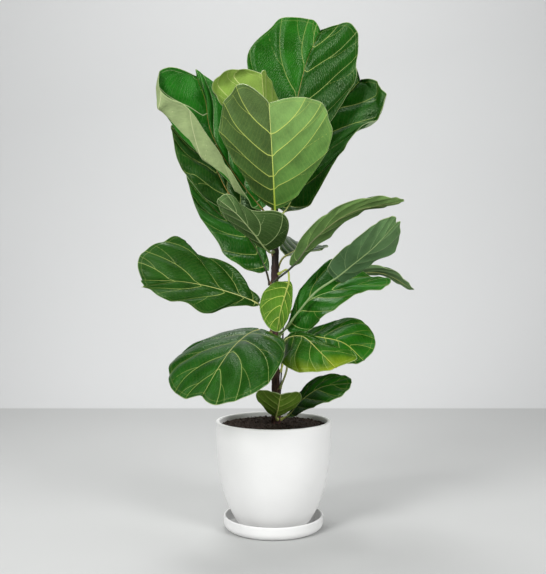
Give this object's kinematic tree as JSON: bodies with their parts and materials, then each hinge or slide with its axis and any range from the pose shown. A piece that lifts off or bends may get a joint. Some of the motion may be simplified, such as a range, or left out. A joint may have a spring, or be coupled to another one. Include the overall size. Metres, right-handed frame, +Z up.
{
  "type": "potted fiddle leaf fig",
  "caption": "Young single-stemmed fiddle leaf fig with broad veined leaves, standing in a round white ceramic pot on a matching saucer.",
  "frame": {"origin": "centre of the saucer's underside, where the object stands", "axes": "+Z up along the pot's axis, -Y towards the front, +X to the right"},
  "size_m": [0.5753, 0.4457, 1.0828],
  "materials": {
    "ceramic": "matte white",
    "compost": "damp crumbly",
    "bark": "rough",
    "bud_sheath": "papery",
    "stake_wood": "dark matte",
    "leaf": "waxy gloss above, matte below",
    "yellowing_leaf": "waxy gloss above, matte below"
  },
  "bodies": {
    "root": {"saucer": "ceramic", "pot": "ceramic", "soil": "compost", "stem": "bark", "terminal_bud": "bud_sheath", "stake": "stake_wood", "top_leaf": "leaf", "upper_right_leaf": "leaf", "front_leaf": "leaf", "young_leaf": "leaf", "upper_left_leaf": "leaf", "inner_left_leaf": "leaf", "outer_left_leaf": "leaf", "cupped_leaf": "leaf", "thin_right_leaf": "leaf", "back_leaf": "leaf", "middle_right_leaf": "leaf", "narrow_right_leaf": "leaf", "arching_leaf": "leaf", "middle_left_leaf": "leaf", "lower_left_leaf": "leaf", "hanging_leaf": "leaf", "yellowing_leaf": "yellowing_leaf", "lower_right_leaf": "leaf", "small_bottom_leaf": "leaf", "bottom_right_leaf": "leaf"}
  },
  "joints": []
}
